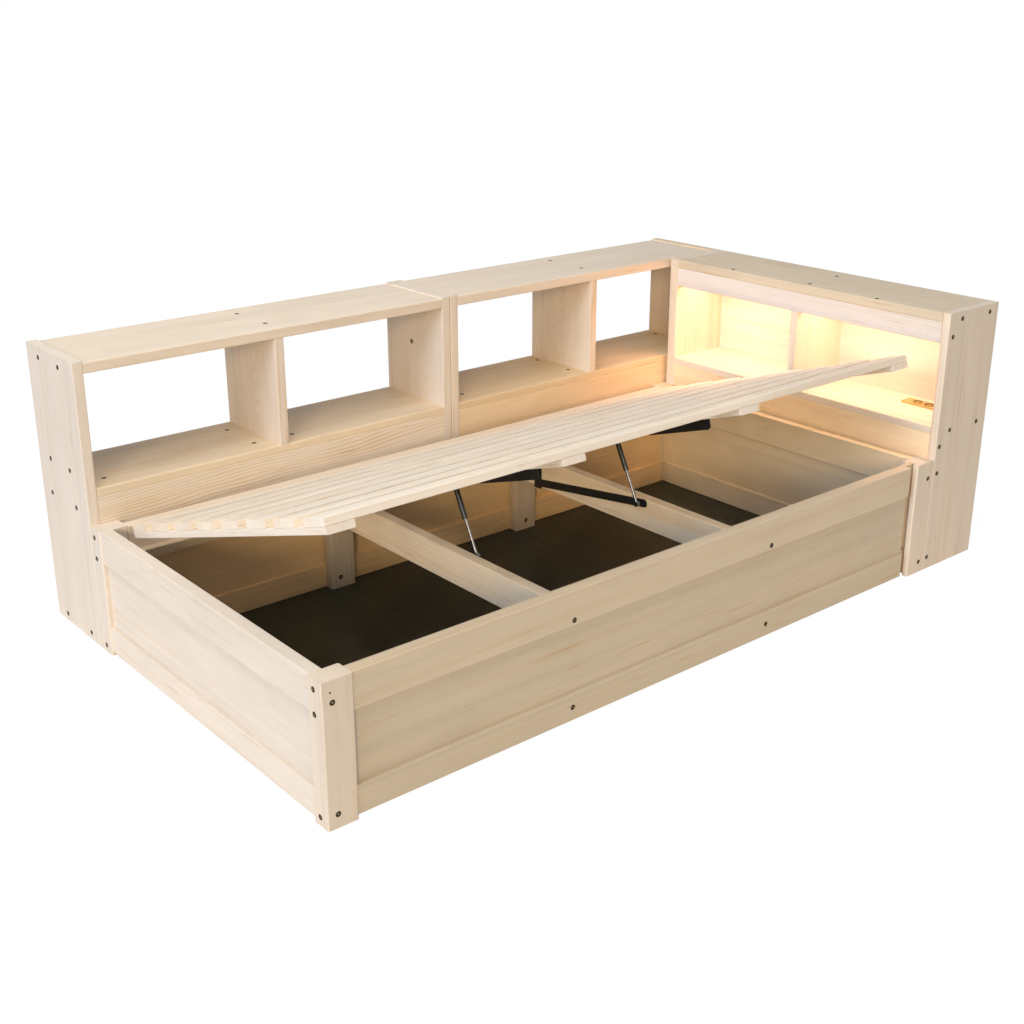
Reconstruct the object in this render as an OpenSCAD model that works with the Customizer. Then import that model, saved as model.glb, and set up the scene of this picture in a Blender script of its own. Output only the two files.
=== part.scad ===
// Platform bed with a lift-up slatted lid, a low bookcase behind it and a shelf headboard.
// X runs along the bed from the foot end to the headboard, Y from the open front to the
// bookcase, Z up. The modules draw in bed coordinates, with zero at the front foot corner
// on the floor; in_frame() then moves the middle of the footprint to the origin.

/* [Bed box] */
// Length of the bed box, from the foot end to the headboard's face
box_l = 2122; // [2000:1:2250]
// Width of the bed box, over the front and back posts
box_w = 1100; // [1040:1:1250]
// Height of the bed box
box_h = 350; // [320:1:400]
// Width of the slim posts, along the bed
post_w = 78; // [60:1:90]
// Width of the front post beside the headboard, along the bed
head_post_w = 82; // [70:1:100]
// Width of the back post beside the headboard, along the bed
head_back_post_w = 57; // [50:1:80]
// Open joint between the front rails' shoulders and the post beside the headboard
shoulder_gap = 29; // [10:1:32]
// Thickness of every post, across the bed
post_t = 55; // [50:1:70]
// Thickness of the top and bottom rails of a panel
rail_t = 35; // [30:1:40]
// Distance from a post's outer face to a rail's outer face
rail_inset = 4; // [2:1:8]
// Distance the back rails stand in front of the back posts, inside the box
back_rail_step = 5; // [0:1:10]
// Distance from the headboard's face to the head end rails
head_rail_inset = 13; // [8:1:20]
// Height of a top rail
top_rail_h = 90; // [70:1:110]
// Height of a bottom rail
bottom_rail_h = 72; // [50:1:90]
// Thickness of the board between the rails
panel_board_t = 15; // [12:1:18]
// Depth of the grooves that hold the board
groove_d = 8; // [5:1:12]
// Thickness of the bottom boards that lie on the floor
bottom_board_t = 8; // [6:1:12]

/* [Lid supports] */
// Depth of the ledgers' top, where the closed lid rests, under the top of the box
ledger_drop = 66; // [50:1:90]
// Height of a ledger's section
ledger_h = 27; // [20:1:34]
// Width of a ledger's section
ledger_w = 26; // [20:1:32]
// Thickness of a cross beam
beam_t = 34; // [28:1:40]
// Height of a cross beam
beam_h = 90; // [70:1:110]
// Width of a support leg, along the bed
leg_w = 80; // [70:1:90]
// Thickness of a support leg
leg_t = 31; // [24:1:36]
// Position of the left cross beam's inner face
left_beam_face = 747; // [720:1:780]
// Position of the right cross beam's inner face
right_beam_face = 1368; // [1330:1:1400]

/* [Bookcase] */
// Height of the bookcase and the headboard
case_h = 787; // [740:1:860]
// Depth of the bookcase
case_d = 292; // [240:1:330]
// Thickness of the bookcase boards
case_t = 28.6; // [22:0.1:32]
// Gap between the two bookcase units
case_gap = 2; // [0:1:4]
// Distance from the sides' top edge down to the top board
case_top_drop = 4; // [0:1:8]
// Height of the cells' floor
cell_floor = 448; // [430:1:480]
// Thickness of the shelf under the cells
shelf_t = 22; // [18:1:28]
// Height of the lower edge of the apron, behind the back top rail
apron_bottom = 285; // [270:1:330]

/* [Headboard] */
// Depth of the headboard, along the bed
head_d = 246; // [200:1:280]
// Thickness of the front side panel
head_front_t = 25; // [20:1:30]
// Thickness of the back side panel
head_back_t = 47; // [35:1:50]
// Width of the rebate in its front edge, beside the bookcase
head_rebate_w = 14; // [8:1:18]
// Thickness of the top board
head_top_t = 28; // [22:1:32]
// Height of the header under the top board
header_h = 61; // [40:1:80]
// Thickness of the divider
head_divider_t = 24; // [20:1:30]
// Position of the divider's front face
head_divider_y = 538; // [520:1:560]
// Thickness of the back panel
head_back_panel_t = 14; // [10:1:18]
// Height of the headboard apron's lower edge
head_apron_bottom = 285; // [260:1:300]

/* [Lid] */
// Distance from the bed box's foot end to the lid
lid_x = 73; // [60:1:80]
// Gap between the lid and the rail at the head end
lid_head_gap = 38; // [30:1:60]
// Gap between the closed lid and the front posts
lid_front_gap = 2; // [1:1:12]
// Gap between the closed lid and the back rails
lid_closed_gap = 8; // [7:1:16]
// Number of slats
slat_count = 8; // [6:1:10]
// Width of a slat
slat_w = 85.6; // [70:0.1:95]
// Thickness of a slat
slat_t = 19.6; // [16:0.1:22]
// Width of a batten under the slats
batten_w = 70; // [60:1:80]
// Thickness of a batten
batten_t = 17.7; // [14:0.1:22]
// Angle of the raised lid
lid_angle = 18; // [10:0.5:20]
// Distance of the raised lid's back edge from the back panel
lid_back_gap = 48; // [40:1:60]
// Height of the raised lid's back edge above the ledgers
lid_back_rise = 48; // [40:1:60]

/* [Lift fittings] */
// Thickness of the steel bars and links
steel_t = 3; // [2:0.5:4]
// Distance from the back rails to the middle of the lift bar's flange
flange_back = 137.5; // [120:0.5:150]
// Distance along the bar, level, from the flange's middle to the strut's lower pin
strut_reach = 448.5; // [420:0.5:480]
// Distance of the upper link's pin below the ledgers' top
upper_pin_drop = 18; // [16:1:20]
// Distance of the lower link's pin below the ledgers' top
lower_pin_drop = 46; // [42:1:50]
// Distance of the strut's lower pin below the ledgers' top
strut_pin_drop = 14; // [14:0.5:18]
// Distance of the bar's back end below the ledgers' top
bar_back_drop = 77.5; // [70:0.5:82]
// Height of the bar on the cross beam
lift_bar_h = 24; // [20:1:30]
// Depth of the bar under the lid
lid_bar_h = 33; // [28:1:40]
// Width of a link
link_w = 18; // [16:1:22]
// Radius of the pins
pin_r = 4; // [3:0.5:5]
// Outer radius of a strut's tube
tube_r = 7.5; // [6.5:0.5:9]
// Length of a strut's tube
tube_l = 104; // [96:1:112]

/* [Hidden] */

$fn = 32;

// Colours.
pine = [0.88, 0.79, 0.67];
pale_pine = [0.91, 0.85, 0.77];
grey_pine = [0.72, 0.65, 0.56];
dark_board = [0.12, 0.10, 0.08];
black_steel = [0.10, 0.10, 0.10];
chrome_rod = [0.80, 0.80, 0.82];
warm_light = [1.00, 0.93, 0.75];
gold_plastic = [0.78, 0.68, 0.45];

// Small radii on the edges of the wood.
edge_r = 2.5;
post_edge_r = 4;

// The front rails' tongues, the groove they stand in, and how far the panel board passes the rails.
tongue_t = 15;
tongue_play = 2;
post_groove_y = 16;
post_groove_d = 15;
board_past = 6;
head_rebate_d = 22;

// Places that follow from the driving sizes.
overall_l = box_l + head_d;
overall_w = box_w + case_d;
head_rail_x = box_l - head_rail_inset - rail_t;
foot_inner_x = rail_inset + rail_t;
front_inner_y = rail_inset + rail_t;
back_inner_y = box_w - post_t - back_rail_step;
top_rail_z = box_h - top_rail_h;
ledger_top = box_h - ledger_drop;
panel_z = bottom_board_t + bottom_rail_h;
front_rail_l = box_l - post_w - head_post_w - shoulder_gap;
front_board_l = front_rail_l + board_past;
back_rail_l = box_l - post_w - head_back_post_w;
ledger_l = box_l - post_w - head_post_w;
case_w = (overall_l - case_gap) / 2;
case_y = box_w;
case_top_z = case_h - case_top_drop - case_t;
case_shelf_z = cell_floor - shelf_t;
case_bottom_z = 7;

head_x = box_l;
head_back_x = overall_l - head_back_panel_t;
head_inner_y = box_w - head_back_t;
head_top_z = case_h - head_top_t;
head_shelf_t = 23;
front_board_t = 28;
head_bottom_rail_h = 60;

lid_l = head_rail_x - lid_head_gap - lid_x;
lid_w = back_inner_y - lid_closed_gap - post_t - lid_front_gap;

// The lid's frame: zero on the lower back edge, Y towards the back, Z up from the battens.
lid_back_y = back_inner_y - lid_back_gap;
lid_back_z = ledger_top + lid_back_rise;
slat_pitch = (lid_w - slat_w) / (slat_count - 1);

// Layers of the lift fittings, measured from the beam's inner face.
layer_gap = 0.3;
upper_link_at = steel_t + layer_gap;
lid_bar_at = upper_link_at + steel_t + layer_gap;
lower_link_at = lid_bar_at + steel_t + layer_gap;
strut_at = 18;
eye_t = 10;
eye_r = 7.5;
rod_r = 4;
running = 0.05;
pin_head_t = 2;
pin_head_r = 6.5;
collar_t = 2;
free_gap = 1.2;
free_pin_head_r = 7.5;

// Pivots on the lift bar, as [y, z] in bed coordinates.
flange_w = 31;
flange_edge_r = 3;
flange_over_pin = 12;
flange_under_bar = 17.5;
flange_y = back_inner_y - flange_back;
upper_link_pivot = [flange_y, ledger_top - upper_pin_drop];
lower_link_pivot = [flange_y, ledger_top - lower_pin_drop];
strut_pivot = [flange_y - strut_reach, ledger_top - strut_pin_drop];
lift_bar_back = [flange_y, ledger_top - bar_back_drop];
flange_top = upper_link_pivot[1] + flange_over_pin;
flange_bottom = lift_bar_back[1] - flange_under_bar;
lift_bar_nose = 22;
lift_bar_end_r = 10;

// Pivots on the lid, as [distance from the back edge, height above the battens' underside].
lid_pin_a = [54.7, -16.3];
lid_pin_b = [49, -36];
strut_top = [457.5, -17];
lid_bar_back = 24;
lid_bar_front = 823;
lid_bar_flange = 25;
lid_bar_nose_r = 12;
lid_bar_boss_r = 10;
link_waist = 4;
back_head_t = 1.5;
strut_notch_at = 578;
strut_notch_w = 17;
strut_notch_top = -7.5;

function lid_point(p) = [
    lid_back_y - p[0] * cos(lid_angle) + p[1] * sin(lid_angle),
    lid_back_z + p[0] * sin(lid_angle) + p[1] * cos(lid_angle),
];

module in_frame() {
    translate([-overall_l / 2, -overall_w / 2, 0]) children();
}

module on_lid() {
    translate([0, lid_back_y, lid_back_z]) rotate([-lid_angle, 0, 0]) children();
}

// Puts the left fitting on the left beam and its mirror image on the right beam.
module at_left_beam() {
    translate([left_beam_face, 0, 0]) children();
}

module at_right_beam() {
    translate([right_beam_face, 0, 0]) mirror([1, 0, 0]) children();
}

// A rectangle with round corners, made of whole shapes so that its arcs stay true.
module eased_rect(w, h, r) {
    translate([r, 0]) square([w - 2 * r, h]);
    translate([0, r]) square([w, h - 2 * r]);
    for (x = [r, w - r], y = [r, h - r])
        translate([x, y]) circle(r, $fn = 16);
}

// Boards with eased edges along their length.
module board_x(x, y, z, l, w, h, r = edge_r) {
    translate([x, y, z]) rotate([90, 0, 90]) linear_extrude(l) eased_rect(w, h, r);
}

module board_y(x, y, z, w, l, h, r = edge_r) {
    translate([x, y + l, z]) rotate([90, 0, 0]) linear_extrude(l) eased_rect(w, h, r);
}

module board_z(x, y, z, w, d, h, r = edge_r) {
    translate([x, y, z]) linear_extrude(h) eased_rect(w, d, r);
}

// Round bar along X, from layer a to layer b, at a [y, z] point.
module pin_x(p, r, a, b) {
    translate([a, p[0], p[1]]) rotate([0, 90, 0]) cylinder(r = r, h = b - a);
}

// Flat steel link from p to q: two round eyes and a slimmer shank between them.
module link_bar(p, q, w, at) {
    l = norm(q - p);
    a = atan2(q[1] - p[1], q[0] - p[0]);
    shank_w = w - link_waist;
    translate([at, p[0], p[1]]) rotate([a, 0, 0])
        translate([0, 0, -shank_w / 2]) cube([steel_t, l, shank_w]);
    pin_x(p, w / 2, at, at + steel_t);
    pin_x(q, w / 2, at, at + steel_t);
}

// Flat bar from p to q with eased corners, lying against the beam.
module flat_bar(p, q, h, r) {
    a = atan2(q[1] - p[1], q[0] - p[0]);
    translate([0, p[0], p[1]]) rotate([a, 0, 0]) translate([0, 0, -h / 2])
        rotate([90, 0, 90]) linear_extrude(steel_t) eased_rect(norm(q - p), h, r);
}

// ---- Bed box ----

module post(x, y, w) {
    color(pine) board_z(x, y, 0, w, post_t, box_h, post_edge_r);
}

module front_left_post() { post(0, 0, post_w); }
module back_left_post() { post(0, box_w - post_t, post_w); }
module back_right_post() { post(box_l - head_back_post_w, box_w - post_t, head_back_post_w); }

// The front rails' tongues stand in a groove down this post's left side.
module front_right_post() {
    x = box_l - head_post_w;
    color(pine)
        difference() {
            board_z(x, 0, 0, head_post_w, post_t, box_h, post_edge_r);
            translate([x - 1, post_groove_y, -1])
                cube([post_groove_d + 1, front_inner_y - post_groove_y, box_h + 2]);
        }
}

// A rail along X with a groove for the panel board in its upper or lower edge.
module long_rail(y, l, z, h, groove_z, groove_l) {
    board_y0 = y + (rail_t - panel_board_t) / 2;
    difference() {
        union() {
            board_x(post_w, y, z, l, rail_t, h);
            children();
        }
        translate([post_w - 1, board_y0, groove_z])
            cube([groove_l + 1, panel_board_t, groove_d]);
    }
}

module long_panel_board(y, l) {
    h = top_rail_z - panel_z + 2 * groove_d;
    translate([post_w, y + (rail_t - panel_board_t) / 2, panel_z - groove_d])
        cube([l, panel_board_t, h]);
}

// The front rails stop short of the post beside the headboard; a thinner tongue goes on into it.
module front_rail(z, h, groove_z) {
    y = front_inner_y - tongue_t;
    l = shoulder_gap + post_groove_d - tongue_play;
    color(pine)
        long_rail(rail_inset, front_rail_l, z, h, groove_z, front_board_l)
            translate([post_w + front_rail_l - tongue_play, y, z])
                cube([l + tongue_play, tongue_t, h]);
}

module back_rail(z, h, groove_z) {
    color(pine) long_rail(back_inner_y, back_rail_l, z, h, groove_z, back_rail_l + 1);
}

// The same along Y, for the two ends of the box.
module cross_rail(x, z, h, groove_z) {
    l = box_w - 2 * post_t;
    board_x0 = x + (rail_t - panel_board_t) / 2;
    difference() {
        board_y(x, post_t, z, rail_t, l, h);
        translate([board_x0, post_t - 1, groove_z]) cube([panel_board_t, l + 2, groove_d]);
    }
}

module cross_panel_board(x) {
    l = box_w - 2 * post_t;
    h = top_rail_z - panel_z + 2 * groove_d;
    translate([x + (rail_t - panel_board_t) / 2, post_t, panel_z - groove_d])
        cube([panel_board_t, l, h]);
}

module front_top_rail() { front_rail(top_rail_z, top_rail_h, top_rail_z); }
module front_bottom_rail() { front_rail(bottom_board_t, bottom_rail_h, panel_z - groove_d); }
module front_panel_board() { color(pine) long_panel_board(rail_inset, front_board_l); }

module back_top_rail() { back_rail(top_rail_z, top_rail_h, top_rail_z); }
module back_bottom_rail() { back_rail(bottom_board_t, bottom_rail_h, panel_z - groove_d); }
module back_panel_board() { color(pine) long_panel_board(back_inner_y, back_rail_l); }

module foot_top_rail() {
    color(pale_pine) cross_rail(rail_inset, top_rail_z, top_rail_h, top_rail_z);
}
module foot_bottom_rail() {
    color(pale_pine) cross_rail(rail_inset, bottom_board_t, bottom_rail_h, panel_z - groove_d);
}
module foot_panel_board() { color(pale_pine) cross_panel_board(rail_inset); }

module head_top_rail() {
    color(pale_pine) cross_rail(head_rail_x, top_rail_z, top_rail_h, top_rail_z);
}
module head_bottom_rail() {
    color(pale_pine) cross_rail(head_rail_x, bottom_board_t, bottom_rail_h, panel_z - groove_d);
}
module head_panel_board() { color(pale_pine) cross_panel_board(head_rail_x); }

// ---- Lid supports ----

module ledger(y) {
    color(pine) board_x(post_w, y, ledger_top - ledger_h, ledger_l, ledger_w, ledger_h);
}

module front_ledger() { ledger(front_inner_y); }
module back_ledger() { ledger(back_inner_y - ledger_w); }

module cross_beam(x) {
    y0 = front_inner_y + leg_t;
    y1 = back_inner_y - leg_t;
    color(pine) board_y(x, y0, ledger_top - beam_h, beam_t, y1 - y0, beam_h);
}

module left_cross_beam() { cross_beam(left_beam_face - beam_t); }
module right_cross_beam() { cross_beam(right_beam_face); }

module support_legs(y) {
    h = ledger_top - ledger_h - bottom_board_t;
    color(grey_pine)
        for (x = [left_beam_face - leg_w, right_beam_face])
            board_z(x, y, bottom_board_t, leg_w, leg_t, h);
}

module front_support_legs() { support_legs(front_inner_y); }
module back_support_legs() { support_legs(back_inner_y - leg_t); }

// Bottom boards reach under the rails; the outer two are notched round the posts.
board_reach = 15;
board_seam = 0.5;
seam_left = left_beam_face - beam_t / 2;
seam_right = right_beam_face + beam_t / 2;

// Cut-out of a bottom board round the foot of a post.
module post_room(x, y, w) {
    translate([x - 1, y - 1, -1]) cube([w + 2, post_t + 2, bottom_board_t + 2]);
}

module bottom_board(x0, x1) {
    y0 = front_inner_y - board_reach;
    y1 = back_inner_y + board_reach;
    color(dark_board)
        difference() {
            translate([x0, y0, 0]) cube([x1 - x0, y1 - y0, bottom_board_t]);
            for (y = [0, box_w - post_t]) post_room(0, y, post_w);
            post_room(box_l - head_post_w, 0, head_post_w);
            post_room(box_l - head_back_post_w, box_w - post_t, head_back_post_w);
        }
}

module left_bottom_board() { bottom_board(foot_inner_x - board_reach, seam_left - board_seam); }
module middle_bottom_board() { bottom_board(seam_left + board_seam, seam_right - board_seam); }
module right_bottom_board() { bottom_board(seam_right + board_seam, head_rail_x + board_reach); }

// ---- Bookcase ----

module case_side(x) {
    color(pale_pine) board_z(x, case_y, 0, case_t, case_d, case_h);
}

module case_divider(x0) {
    h = case_top_z - cell_floor;
    color(pale_pine)
        board_z(x0 + (case_w - case_t) / 2, case_y, cell_floor, case_t, case_d, h);
}

module case_board(x0, z, t) {
    color(pine) board_x(x0 + case_t, case_y, z, case_w - 2 * case_t, case_d, t);
}

module case_apron(x0) {
    h = case_shelf_z - apron_bottom;
    color(pine) board_x(x0 + case_t, case_y, apron_bottom, case_w - 2 * case_t, case_t, h);
}

right_case_x = case_w + case_gap;

module left_case_left_side() { case_side(0); }
module left_case_right_side() { case_side(case_w - case_t); }
module left_case_divider() { case_divider(0); }
module left_case_top() { case_board(0, case_top_z, case_t); }
module left_case_shelf() { case_board(0, case_shelf_z, shelf_t); }
module left_case_apron() { case_apron(0); }
module left_case_bottom() { case_board(0, case_bottom_z, case_t); }
module right_case_left_side() { case_side(right_case_x); }
module right_case_right_side() { case_side(right_case_x + case_w - case_t); }
module right_case_divider() { case_divider(right_case_x); }
module right_case_top() { case_board(right_case_x, case_top_z, case_t); }
module right_case_shelf() { case_board(right_case_x, case_shelf_z, shelf_t); }
module right_case_apron() { case_apron(right_case_x); }
module right_case_bottom() { case_board(right_case_x, case_bottom_z, case_t); }

// ---- Headboard ----

head_span = head_inner_y - head_front_t;
header_z = head_top_z - header_h;

module headboard_front_side() {
    color(pine) board_z(head_x, 0, 0, head_d, head_front_t, case_h);
}

module headboard_back_side() {
    color(pine)
        difference() {
            board_z(head_x, head_inner_y, 0, head_d, head_back_t, case_h);
            translate([head_x - 1, box_w - head_rebate_w, -1])
                cube([head_rebate_d + 1, head_rebate_w + 1, case_h + 2]);
        }
}

module headboard_top() {
    color(pine) board_y(head_x, head_front_t, head_top_z, head_d, head_span, head_top_t);
}

module headboard_header() {
    color(pale_pine)
        board_y(head_x, head_front_t, header_z, front_board_t, head_span, header_h);
}

// The divider's upper front corner is cut away for the header.
module headboard_divider() {
    color(pale_pine)
        difference() {
            translate([head_x, head_divider_y, cell_floor])
                cube([head_back_x - head_x, head_divider_t, head_top_z - cell_floor]);
            translate([head_x - 1, head_divider_y - 1, header_z])
                cube([front_board_t + 1, head_divider_t + 2, header_h + 1]);
        }
}

module headboard_shelf() {
    w = head_back_x - head_x;
    color(pine)
        board_y(head_x, head_front_t, cell_floor - head_shelf_t, w, head_span, head_shelf_t);
}

module headboard_apron() {
    h = cell_floor - head_shelf_t - head_apron_bottom;
    color(pale_pine)
        board_y(head_x, head_front_t, head_apron_bottom, front_board_t, head_span, h);
}

module headboard_bottom_rail() {
    color(pale_pine)
        board_y(head_x, head_front_t, bottom_board_t, front_board_t, head_span, head_bottom_rail_h);
}

module headboard_back_panel() {
    color(pine)
        translate([head_back_x, head_front_t, 0])
            cube([head_back_panel_t, head_span, head_top_z]);
}

// One light bar in each cell, up under the top board behind the header.
light_w = 14;
light_h = 9;
light_edge_r = 2;
light_gap = 20;

module light_strip() {
    x = head_x + front_board_t;
    z = head_top_z - light_h;
    first = head_front_t + light_gap;
    second = head_divider_y + head_divider_t + light_gap;
    color(warm_light) {
        board_y(x, first, z, light_w, head_divider_y - light_gap - first, light_h, light_edge_r);
        board_y(x, second, z, light_w, head_inner_y - light_gap - second, light_h, light_edge_r);
    }
}

// Flat plate on the headboard's shelf, with two round sockets.
plate_l = 130;
plate_w = 48;
plate_t = 5;
plate_edge_r = 5;
plate_setback = 168;
plate_y = 165;
plate_centre = [head_x + plate_setback, plate_y];
socket_r = 14;
socket_pitch = 40;
socket_d = 3;
socket_z = cell_floor + plate_t - socket_d;

module charging_plate() {
    x = plate_centre[0] - plate_w / 2;
    y = plate_centre[1] - plate_l / 2;
    color(gold_plastic)
        difference() {
            board_z(x, y, cell_floor, plate_w, plate_l, plate_t, plate_edge_r);
            for (s = [-1, 1])
                translate([plate_centre[0], plate_centre[1] + s * socket_pitch / 2, socket_z])
                    cylinder(r = socket_r, h = socket_d + 1);
        }
}

// ---- Lid ----

module lid_slats() {
    color(pine)
        on_lid()
            for (i = [0:slat_count - 1])
                board_x(lid_x, -slat_w - i * slat_pitch, batten_t, lid_l, slat_w, slat_t);
}

// Two battens at the ends and two over the cross beams.
batten_left_reach = 36;
batten_right_reach = 48;
batten_left = left_beam_face - batten_left_reach;
batten_right = right_beam_face - batten_right_reach;

module lid_battens() {
    color(pale_pine)
        on_lid()
            for (x = [lid_x, batten_left, batten_right, lid_x + lid_l - batten_w])
                board_y(x, -lid_w, 0, batten_w, lid_w, batten_t);
}

// ---- Lift fittings, drawn for the left beam ----

module lift_bar() {
    bar_dir = (strut_pivot - lift_bar_back) / norm(strut_pivot - lift_bar_back);
    flat_bar(lift_bar_back, strut_pivot + bar_dir * lift_bar_nose, lift_bar_h, lift_bar_end_r);
    translate([0, flange_y - flange_w / 2, flange_bottom])
        rotate([90, 0, 90]) linear_extrude(steel_t)
            eased_rect(flange_w, flange_top - flange_bottom, flange_edge_r);
    pin_x(upper_link_pivot, pin_r, 0, upper_link_at + steel_t);
    head_at = lower_link_at + steel_t + layer_gap;
    pin_x(lower_link_pivot, pin_r, 0, head_at + pin_head_t / 2);
    pin_x(lower_link_pivot, pin_head_r, steel_t, lower_link_at - layer_gap);
    pin_x(lower_link_pivot, pin_head_r, head_at, head_at + pin_head_t);
    eye_end = strut_at + eye_t / 2 + layer_gap;
    pin_x(strut_pivot, rod_r, 0, eye_end + pin_head_t / 2);
    pin_x(strut_pivot, pin_head_r, strut_at - eye_t / 2 - collar_t, strut_at - eye_t / 2 - layer_gap);
    pin_x(strut_pivot, pin_head_r, eye_end, eye_end + pin_head_t);
}

module upper_link() {
    q = lid_point(lid_pin_a);
    difference() {
        link_bar(upper_link_pivot, q, link_w, upper_link_at);
        for (p = [upper_link_pivot, q])
            pin_x(p, pin_r + running, upper_link_at - 1, upper_link_at + steel_t + 1);
    }
}

// The lower link's lid end has an oversize hole, because it closes the linkage.
free_hole_r = pin_r + free_gap;

module lower_link() {
    q = lid_point(lid_pin_b);
    difference() {
        link_bar(lower_link_pivot, q, link_w, lower_link_at);
        pin_x(lower_link_pivot, pin_r + running, lower_link_at - 1, lower_link_at + steel_t + 1);
        pin_x(q, free_hole_r, lower_link_at - 1, lower_link_at + steel_t + 1);
    }
}

// Angle section under a batten. Its hanging leg carries the pins and is notched where the
// strut's lower stud passes when the lid is down.
module lid_bar() {
    l = lid_bar_front - lid_bar_back;
    nose = lid_bar_nose_r;
    nose_at = [-lid_bar_front + nose, -lid_bar_h + nose];
    on_lid() {
        difference() {
            union() {
                translate([lid_bar_at, -lid_bar_front + nose, -lid_bar_h])
                    cube([steel_t, l - nose, lid_bar_h]);
                translate([lid_bar_at, -lid_bar_front, -lid_bar_h + nose])
                    cube([steel_t, l, lid_bar_h - nose]);
                pin_x(nose_at, nose, lid_bar_at, lid_bar_at + steel_t);
                translate([lid_bar_at, -lid_bar_front, -steel_t])
                    cube([lid_bar_flange, l, steel_t]);
                pin_x([-lid_pin_b[0], lid_pin_b[1]], lid_bar_boss_r, lid_bar_at, lid_bar_at + steel_t);
            }
            translate([lid_bar_at - 1, -strut_notch_at - strut_notch_w / 2, -lid_bar_h - 1])
                cube([steel_t + 2, strut_notch_w, lid_bar_h + 1 + strut_notch_top]);
        }
        a = [-lid_pin_a[0], lid_pin_a[1]];
        pin_x(a, pin_r, upper_link_at - layer_gap, lid_bar_at);
        pin_x(a, pin_head_r, upper_link_at - layer_gap - back_head_t, upper_link_at - layer_gap);
        b = [-lid_pin_b[0], lid_pin_b[1]];
        b_end = lower_link_at + steel_t + layer_gap;
        pin_x(b, pin_r, lid_bar_at + steel_t, b_end);
        pin_x(b, free_pin_head_r, b_end, b_end + pin_head_t);
        pin_x([-strut_top[0], strut_top[1]], pin_head_r, lid_bar_at - collar_t, lid_bar_at);
    }
}

module left_lift_bar() { color(black_steel) at_left_beam() lift_bar(); }
module right_lift_bar() { color(black_steel) at_right_beam() lift_bar(); }
module left_lid_bar() { color(black_steel) at_left_beam() lid_bar(); }
module right_lid_bar() { color(black_steel) at_right_beam() lid_bar(); }

module upper_links() {
    color(black_steel) {
        at_left_beam() upper_link();
        at_right_beam() upper_link();
    }
}

module lower_links() {
    color(black_steel) {
        at_left_beam() lower_link();
        at_right_beam() lower_link();
    }
}

// Gas strut, drawn along its own axis from the lower eye.
strut_end = lid_point(strut_top);
strut_l = norm(strut_end - strut_pivot);
strut_tilt = atan2(strut_end[1] - strut_pivot[1], strut_end[0] - strut_pivot[0]);
tube_sink = 1;
tube_from = strut_l - eye_r + tube_sink - tube_l;
gland_l = 5;
gland_gap = 0.5;
piston_l = 3;
bore_r = 6.1;
tube_end_t = 3;
piston_from = tube_from + gland_l + gland_gap;
bore_end = tube_from + tube_l - tube_end_t;

module along_strut() {
    translate([strut_at, strut_pivot[0], strut_pivot[1]]) rotate([strut_tilt - 90, 0, 0]) children();
}

module strut_eye(at) {
    translate([-eye_t / 2, 0, at]) rotate([0, 90, 0]) cylinder(r = eye_r, h = eye_t);
}

module strut_rod() {
    along_strut()
        difference() {
            union() {
                strut_eye(0);
                cylinder(r = rod_r, h = piston_from + piston_l);
                translate([0, 0, piston_from]) cylinder(r = bore_r - running, h = piston_l);
            }
            translate([-eye_t, 0, 0]) rotate([0, 90, 0]) cylinder(r = rod_r + running, h = 2 * eye_t);
        }
}

// The tube ends in a ball socket; its stud points at the lid bar and stops just short of it.
module strut_tube() {
    along_strut() {
        difference() {
            translate([0, 0, tube_from]) cylinder(r = tube_r, h = tube_l);
            translate([0, 0, tube_from - 1]) cylinder(r = rod_r + running, h = gland_l + 2);
            translate([0, 0, tube_from + gland_l]) cylinder(r = bore_r, h = bore_end - tube_from - gland_l);
        }
        strut_eye(strut_l);
        stud_l = strut_at - lid_bar_at - steel_t - layer_gap;
        translate([-stud_l, 0, strut_l]) rotate([0, 90, 0]) cylinder(r = rod_r, h = stud_l);
    }
}

module strut_rods() {
    color(chrome_rod) {
        at_left_beam() strut_rod();
        at_right_beam() strut_rod();
    }
}

module strut_tubes() {
    color(black_steel) {
        at_left_beam() strut_tube();
        at_right_beam() strut_tube();
    }
}

in_frame() front_left_post();
in_frame() front_right_post();
in_frame() back_left_post();
in_frame() back_right_post();
in_frame() front_top_rail();
in_frame() front_panel_board();
in_frame() front_bottom_rail();
in_frame() back_top_rail();
in_frame() back_panel_board();
in_frame() back_bottom_rail();
in_frame() foot_top_rail();
in_frame() foot_panel_board();
in_frame() foot_bottom_rail();
in_frame() head_top_rail();
in_frame() head_panel_board();
in_frame() head_bottom_rail();
in_frame() front_ledger();
in_frame() back_ledger();
in_frame() left_cross_beam();
in_frame() right_cross_beam();
in_frame() front_support_legs();
in_frame() back_support_legs();
in_frame() left_bottom_board();
in_frame() middle_bottom_board();
in_frame() right_bottom_board();
in_frame() left_case_left_side();
in_frame() left_case_right_side();
in_frame() left_case_divider();
in_frame() left_case_top();
in_frame() left_case_shelf();
in_frame() left_case_apron();
in_frame() left_case_bottom();
in_frame() right_case_left_side();
in_frame() right_case_right_side();
in_frame() right_case_divider();
in_frame() right_case_top();
in_frame() right_case_shelf();
in_frame() right_case_apron();
in_frame() right_case_bottom();
in_frame() headboard_front_side();
in_frame() headboard_back_side();
in_frame() headboard_top();
in_frame() headboard_header();
in_frame() headboard_divider();
in_frame() headboard_shelf();
in_frame() headboard_apron();
in_frame() headboard_bottom_rail();
in_frame() headboard_back_panel();
in_frame() light_strip();
in_frame() charging_plate();
in_frame() left_lift_bar();
in_frame() right_lift_bar();
in_frame() upper_links();
in_frame() lower_links();
in_frame() lid_slats();
in_frame() lid_battens();
in_frame() left_lid_bar();
in_frame() right_lid_bar();
in_frame() strut_tubes();
in_frame() strut_rods();
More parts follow.
